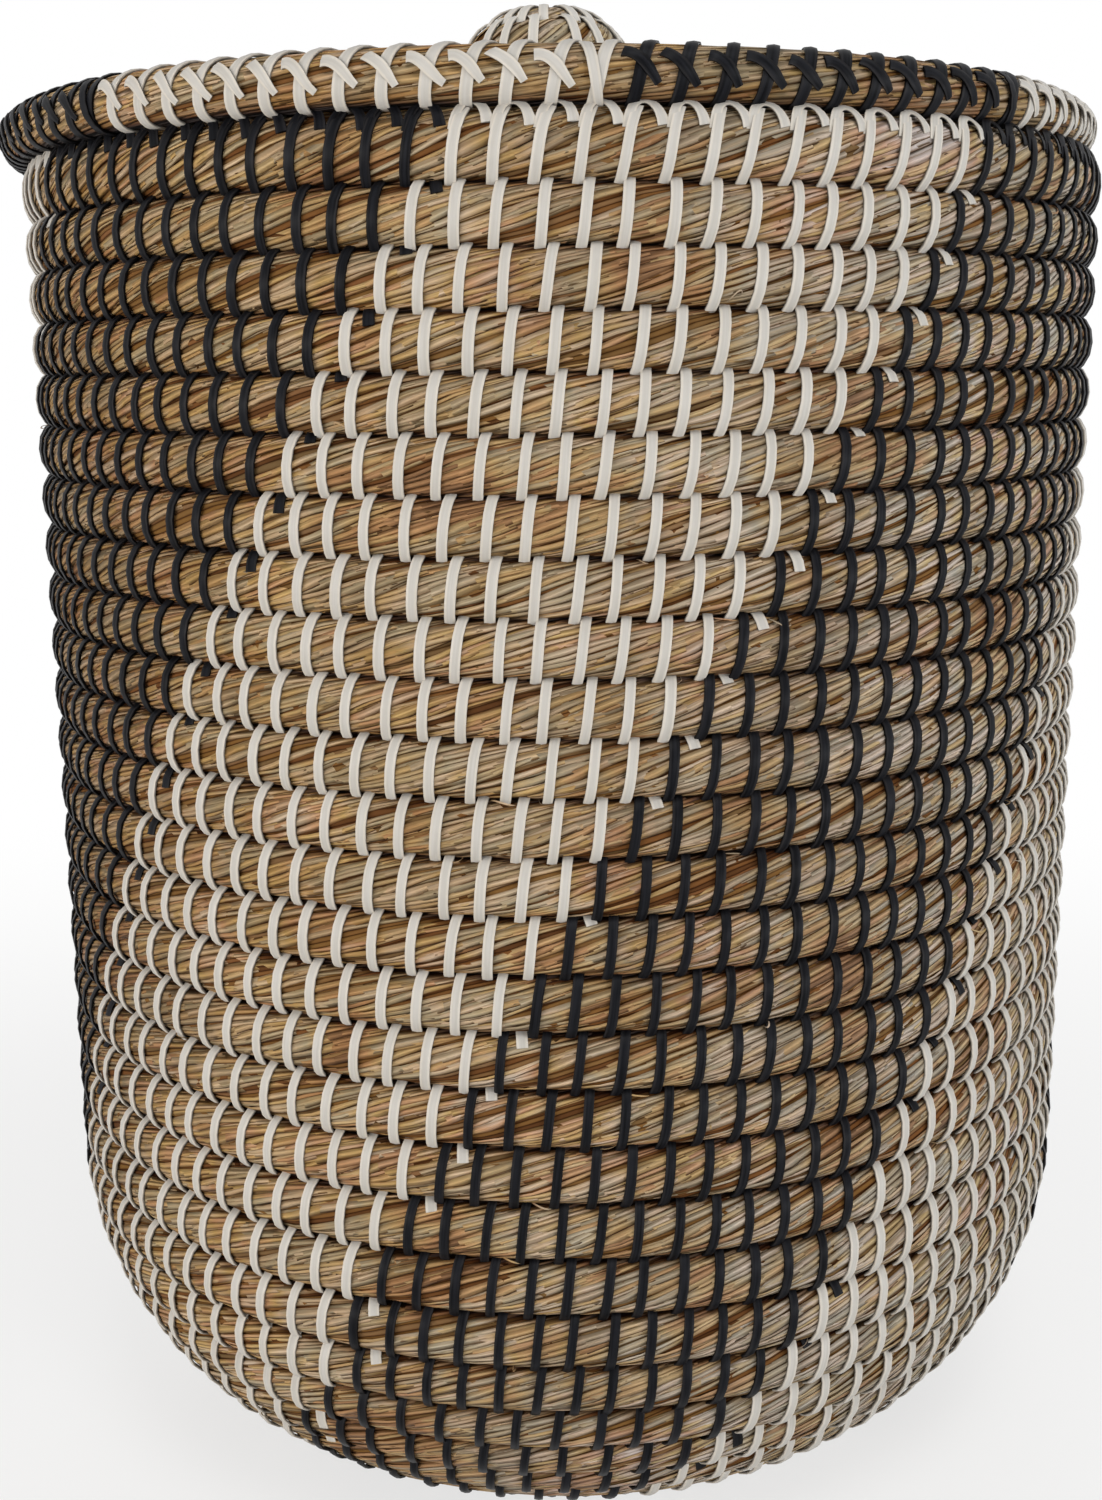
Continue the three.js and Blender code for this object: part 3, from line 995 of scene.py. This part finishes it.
# Blades on one side of a coil: face 0 is outside and pi is inside. Coarse makes them wider and plainer.
def growBlades(name, coil, turns, perMetre, seed, face=0.0, halfBand=16.0, parts=1, coarse=1.0,
               slope=blades["slope"], step=blades["stepLength"]):
    first, last = (lengthAt(coil["points"], turn) for turn in turns)
    bladeLength = 2 * halfBand / slope
    for part in range(parts):
        begin, end = (first + (last - first) * share / parts for share in (part, part + 1))
        grow(f"{name}_{part + 1}" if parts > 1 else name, bladeTree, coil, {
            "From": begin, "To": end, "Count": int((end - begin) * perMetre),
            "Steps": int(bladeLength / step / coarse) + 1, "Stray": blades["stray"] * mm,
            "Narrowest": blades["narrowest"] * coarse * mm, "Widest": blades["widest"] * coarse * mm,
            "Thickness": blades["thickness"] * mm, "Lift": blades["lift"] * mm, "Slope": slope,
            "Slope spread": blades["slopeSpread"], "Slope drift": blades["slopeDrift"] * slope,
            "Face": face, "Half band": halfBand * mm, "Seed": seed + 10 * part,
            "Material": coil["material"],
        })


def growStrips(name, coil, stitches, finish, width, side, onward):
    slot, material = finishes[finish]
    span = stitching["halfSpan"]
    curled = (-stitching["edgeSpan"], span, stitching["curl"] * mm)
    rows = [{
        "stitch": (stitch["at"], stitch["lean"] * mm, stitch["tone"]),
        "span": curled if stitch.get("first") else (-span, span, 0.0),
    } for stitch in stitches]
    steps, sides = stitching["outerCut"] if side > 0 else stitching["innerCut"]
    grow(name, stripTree, coil, {
        "Stitches": helperObject(name + "Places", rows),
        "Steps": steps, "Sides": sides, "Width": width * mm, "Thickness": stitching["thickness"] * mm,
        "Side": side, "Onward": onward, "Clearance": stitching["clearance"] * mm,
        "Tail": stitching["tail"], "Tail depth": stitching["tailDepth"] * mm, "Material": material,
    })


# The stitches of both colours on the outer and the inner side of a coil.
def growStitches(outer, inner, coil, stitches, onward):
    for colour, width in stitching["width"].items():
        chosen = [s for s in stitches if s["colour"] == colour]
        growStrips(f"{colour}_{outer}", coil, chosen, colour, width, 1.0, onward)
        growStrips(f"{colour}_{inner}", coil, chosen, colour, width, -1.0, onward)


# Each control point gives a length along the coil, a length round its section, and a lift.
laces = {
    "hook": {
        "width": 3.7, "thickness": 0.9, "steps": 14, "waist": 0.3, "middleLift": 2.4, "shake": 0.6,
        "near": [(0.8, -3.0, 0.6), (1.2, -12.9, 0.8)],
        "far": [(9.0, -12.7, 0.8), (10.6, -4.2, 0.7)],
    },
    "tail": {
        "width": 3.8, "thickness": 0.7, "steps": 6, "middleLift": 0.9, "shake": 0.3,
        "often": 0.8, "long": (5.0, 10.5),
    },
    "fibre": {
        "width": 0.6, "thickness": 0.3, "steps": 10, "sides": 3, "pointed": 0.8,
        "count": 260, "aside": (10, 15), "run": (-9, 12), "rise": (-7, 7), "middleLift": (0.8, 3.0),
    },
    "wrap": {
        "width": 3.8, "thickness": 1.2, "steps": 18, "middleLift": 1.1, "shake": 0.4,
        "path": [(-1.0, 19.0, 0.5), (-1.6, 6.0, 0.9), (0.6, -4.0, 0.9), (8.0, -18.0, 0.5)],
    },
    "cross": {
        "width": 3.9, "thickness": 0.9, "steps": 10, "middleLift": 2.1, "shake": 0.9,
        "pointed": 0.4, "waist": 0.2,
        "path": [(-5.2, -4.6, 0.8), (-2.4, -3.8, 1.4), (1.8, -1.2, 1.4), (4.8, 3.2, 0.8)],
        "lastPath": [(-3.4, -9.5, 0.8), (-2.2, -4.0, 1.4), (0.6, 5.0, 1.4), (2.6, 17.0, 0.6)],
    },
    "seatWrap": {
        "width": 4.2, "thickness": 0.7, "steps": 16, "middleLift": 0.7, "shake": 0.3,
        "path": [(-1.5, 21.0, 0.5), (-0.8, 7.0, 0.8), (0.8, -7.0, 0.8), (1.5, -21.0, 0.5)],
    },
    "fork": {
        "width": 3.2, "thickness": 0.6, "steps": 8, "middleLift": 1.5, "shake": 0.5, "pointed": 0.3,
        "path": [(-3.4, -10.4, 0.8), (-2.2, -8.0, 1.2), (-0.6, -5.6, 1.3), (0.6, -2.6, 0.9)],
    },
}


def shaken(controls, chooser, amount):
    return [(run + chooser.uniform(-amount, amount), around + chooser.uniform(-amount, amount), lift)
            for run, around, lift in controls]


def laceRow(at, tone, middleLift, controls):
    row = {"stitch": (at, tone, middleLift * mm)}
    for number, (run, around, lift) in enumerate(controls):
        row[f"control{number}"] = (run * mm, around * mm, lift * mm)
    return row


def laceOver(stitch, lace, chooser, path="path"):
    controls = shaken(lace[path], chooser, lace["shake"])
    return laceRow(stitch["at"], stitch["tone"], lace["middleLift"], controls)


def growLaces(name, coil, rows, finish, lace):
    slot, material = finishes[finish]
    grow(name, laceTree, coil, {
        "Laces": helperObject(name + "Places", rows),
        "Steps": lace["steps"], "Sides": lace.get("sides", 6), "Width": lace["width"] * mm,
        "Thickness": lace["thickness"] * mm, "Pointed": lace.get("pointed", 0.0),
        "Waist": lace.get("waist", 0.0), "Material": material,
    })


def dressBasket(chooser):
    points = coilPoints(basketProfile, rowEdge, basket["rows"], basket["bundle"], basket["squeeze"],
                        openTurns=basket["openTurns"])
    stitches = placeStitches(points, stitching, chooser)
    pinch(points, stitches)
    coil = makeCoil("basket", "basket", points, basket["around"], grass)
    for node, turns in basket["bundles"].items():
        growBundle("bundle_" + node, coil, turns, (node,))
    growBlades("grass_outside", coil, (-1, 28), perMetre=330, seed=100, parts=9)
    growBlades("grass_base", coil, (28, 33), perMetre=190, seed=300, coarse=1.3)
    growBlades("grass_inside", coil, (-1, 33), perMetre=100, seed=500, parts=3, coarse=1.5, face=math.pi)
    for stitch in stitches:
        stitch["first"] = coilStart <= stitch["turns"] < 1 + coilStart
    growStitches("stitches_outside", "stitches_inside", coil, stitches, 1.0)

    # the top row's strips end in a hook along the edge, and a short end is tucked in where a panel opens
    hook, tail, fibre = laces["hook"], laces["tail"], laces["fibre"]
    hooks = {"cream": [], "black": []}
    tails = {"cream": [], "black": []}
    for stitch in stitches:
        if stitch["first"]:
            controls = hook["near"] + shaken(hook["far"], chooser, hook["shake"])
            row = laceRow(stitch["at"], stitch["tone"], hook["middleLift"], controls)
            hooks[stitch["colour"]].append(row)
        if stitch["opening"] and stitch["turns"] > 1 and chooser.random() < tail["often"]:
            other = "black" if stitch["colour"] == "cream" else "cream"
            long = chooser.uniform(*tail["long"])
            controls = [(-0.6, -16.0, 0.3), (-0.2, -14.0, 0.4), (0.4, -13.5 + long / 2, 0.4),
                        (1.0, -13.0 + long, 0.5)]
            tone = chooser.random()
            controls = shaken(controls, chooser, tail["shake"])
            at = stitch["at"] + stitch["pitch"] * 0.5 * mm
            tails[other].append(laceRow(at, tone, tail["middleLift"], controls))
    for colour in ("cream", "black"):
        growLaces(f"{colour}_rim_hooks", coil, hooks[colour], colour, hook)
        growLaces(f"{colour}_tails", coil, tails[colour], colour, tail)

    fibres = []
    for _ in range(fibre["count"]):
        at = chooser.uniform(0, lengthAt(points, 27))
        start = chooser.choice((-1, 1)) * chooser.uniform(*fibre["aside"])
        run = chooser.uniform(*fibre["run"])
        rise = chooser.uniform(*fibre["rise"])
        controls = [(0, start, -0.6), (run * 0.2, start - rise, 1.0), (run, start - rise * 1.4, 1.0),
                    (run * 0.9, start - rise * 0.6, -0.4)]
        fibres.append(laceRow(at, chooser.random(), chooser.uniform(*fibre["middleLift"]), controls))
    growLaces("loose_fibres", coil, fibres, "grass", fibre)


lid = {
    "shift": -5.2,
    "rimBundle": 17.5,
    "rimRadius": 203.25,
    "rimHeight": 516.31,
    "rimSlope": 0.14,
    "panelRadius": 193.9,
    "panelAround": 9.6,
    "rise": 7.0,
    "rows": 10,
    "squeeze": 0.6,
    "seatRadius": 173.4,
    "seatHeight": 501.2,
    "seatBundle": 14.0,
    "perTurn": 105,
    "onward": 0,
    "firstCream": -40.3,
    "panels": [14, 12, 13, 13, 13, 13, 13, 14],
}


# Radius, height and turn of the lid's top, at a length inwards from its rim.
def panelProfile(s):
    radius = lid["panelRadius"] - s
    dome = lid["rise"] * (1 - (radius / lid["panelRadius"]) ** 2)
    slope = math.atan(2 * lid["rise"] * radius / lid["panelRadius"] ** 2)
    return radius, lid["rimHeight"] + dome + lid["rimBundle"] / 2, slope - math.pi / 2


def panelEdge(k):
    return lid["panelRadius"] / lid["rows"] * k


def dressLid(chooser):
    points = ringPoints(lid["rimRadius"], lid["rimHeight"], lid["rimBundle"], lid["shift"])
    stitches = placeStitches(points, lid, chooser)
    pinch(points, stitches)
    rim = makeCoil("lidRim", "lid", points, lid["rimBundle"] / 2, lidGrass)
    growBundle("bundle_lid_rim", rim, (-1, 2), ("lid_rim_coil",), 16, lid["rimSlope"])
    growBlades("grass_lid_rim", rim, (-1, 2), perMetre=260, seed=700, halfBand=22.0, slope=lid["rimSlope"])
    for colour in ("cream", "black"):
        wraps, crosses = [], []
        for stitch in stitches:
            if stitch["colour"] == colour:
                wraps.append(laceOver(stitch, laces["wrap"], chooser))
                path = "lastPath" if stitch["last"] else "path"
                crosses.append(laceOver(stitch, laces["cross"], chooser, path))
        growLaces(f"{colour}_lid_wraps", rim, wraps, colour, laces["wrap"])
        growLaces(f"{colour}_lid_crosses", rim, crosses, colour, laces["cross"])

    rows = lid["rows"]
    points = coilPoints(panelProfile, panelEdge, rows, lid["rimBundle"], lid["squeeze"], lid["shift"])
    stitches = placeStitches(points, lid, chooser)
    pinch(points, stitches)
    panel = makeCoil("lidPanel", "lid", points, lid["panelAround"], lidGrass)
    growBundle("bundle_lid_panel", panel, (-1, rows), ("lid_panel_coil",))
    growBlades("grass_lid_top", panel, (-1, rows), perMetre=165, seed=800, step=6.8)
    growBlades("grass_lid_underside", panel, (-1, rows), perMetre=100, seed=840, coarse=1.3, face=math.pi)
    growStitches("lid_stitches_top", "lid_stitches_underside", panel, stitches, -1.0)

    points = ringPoints(lid["seatRadius"], lid["seatHeight"], lid["seatBundle"], lid["shift"])
    stitches = placeStitches(points, {**lid, "perTurn": lid["perTurn"] / 2}, chooser)
    pinch(points, stitches)
    seat = makeCoil("lidSeat", "lid", points, lid["seatBundle"] / 2, lidGrass)
    growBundle("bundle_lid_seat", seat, (-1, 2), ("lid_seat_ring",), 12)
    growBlades("grass_lid_seat", seat, (-1, 2), perMetre=240, seed=900, halfBand=22.0, coarse=1.3)
    wraps = [laceOver(stitch, laces["seatWrap"], chooser) for stitch in stitches]
    growLaces("cream_seat_wraps", seat, wraps, "cream", laces["seatWrap"])


knob = {
    "radius": 35.0,
    "upright": 7.0,
    "bundle": 14.0,
    "around": 8.2,
    "squeeze": 0.8,
    "rowEdges": (0.0, 18.5, 37.0, 53.0, 62.0),
    "fullness": 0.8,
    "slope": 0.75,
    "strip": 3.9,
    "angles": (-74, -46, -30, -9, 21, 39, 66, 92, 118, 145, 171, 196, 222, 248),
    "onward": 6,  # degrees that the stitches move in each row
    "base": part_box("knob_core")[0][2] / mm - 2.6,  # its foot goes a little into the lid
}


def knobEdge(k):
    edges = knob["rowEdges"]
    row = min(int(k), len(edges) - 2)
    return edges[row] + (edges[row + 1] - edges[row]) * (k - row)


# Radius, height and turn of the knob's outside, at a length up from its foot.
def knobProfile(s):
    dome = min(max(s - knob["upright"], 0) / knob["radius"], math.pi / 2)
    radius = knob["radius"] * math.cos(dome) ** knob["fullness"]
    height = knob["base"] + min(s, knob["upright"]) + knob["radius"] * math.sin(dome) ** knob["fullness"]
    return radius, height, -dome


def dressKnob(chooser):
    rows = len(knob["rowEdges"]) - 1
    last = rows - 1
    points = coilPoints(knobProfile, knobEdge, rows, knob["bundle"], knob["squeeze"], lid["shift"])
    stitches, forks = [], []
    for row in range(last):
        for angle in knob["angles"]:
            turns = row + (angle + knob["onward"] * (row - 1) - basket["climbTo"]) / 360 + 1
            if points[0]["turns"] < turns < last:
                stitch = {"at": lengthAt(points, turns), "tone": chooser.random(), "lean": 0.5}
                stitches.append(stitch)
                forks.append(laceOver({**stitch, "tone": chooser.random()}, laces["fork"], chooser))
    pinch(points, stitches)
    coil = makeCoil("knob", "lid", points, knob["around"], knobGrass)
    growBundle("bundle_knob", coil, (-1, last), ("knob_coil",), 16, knob["slope"])
    growBundle("bundle_knob_eye", coil, (last, rows), ("knob_core",), 10, knob["slope"])
    growLaces("cream_knob_forks", coil, forks, "knob", laces["fork"])
    growBlades("grass_knob", coil, (-1, last), perMetre=620, seed=950, halfBand=14.0, coarse=0.9,
               slope=knob["slope"], step=2.7)
    growStrips("cream_knob_stitches", coil, stitches, "knob", knob["strip"], 1.0, -1.0)


print("stage")
scene.view_settings.view_transform = "Standard"
makeCamera(cameraFit)
makeWorld()
for lamp, settings in light["lamps"].items():
    makeLamp(lamp, *settings)
makeFloor()

print("materials")
# one grass in three copies: the lid's copy has painted shade on the lower side of its rows and painted
# light and shade from side to side, and the knob's copy is painted lighter, where light from above falls
# on it
grass = makeGrass("grass", shade=1.25)
lidGrass = makeGrass("lidGrass", shade=1.36, sides=lidSideLight, below=0.5)
knobGrass = makeGrass("knobGrass", shade=1.7)
underGrass = makeUnderGrass("underGrass")
finishes = {"grass": ("grass", grass)}  # slot and material
for name, look in stripLooks.items():
    slot = "black_strip" if name == "black" else "cream_strip"
    finishes[name] = (slot, makeStrip(name + "Strip", **look))

print("trees")
bundleTree = makeBundleTree()
bladeTree = makeBladeTree()
stripTree = makeStripTree()
laceTree = makeLaceTree()
helpers = []

print("basket")
dressBasket(random.Random(7))
print("lid")
dressLid(random.Random(11))
print("knob")
dressKnob(random.Random(13))

for helper in helpers:
    bpy.data.objects.remove(helper)
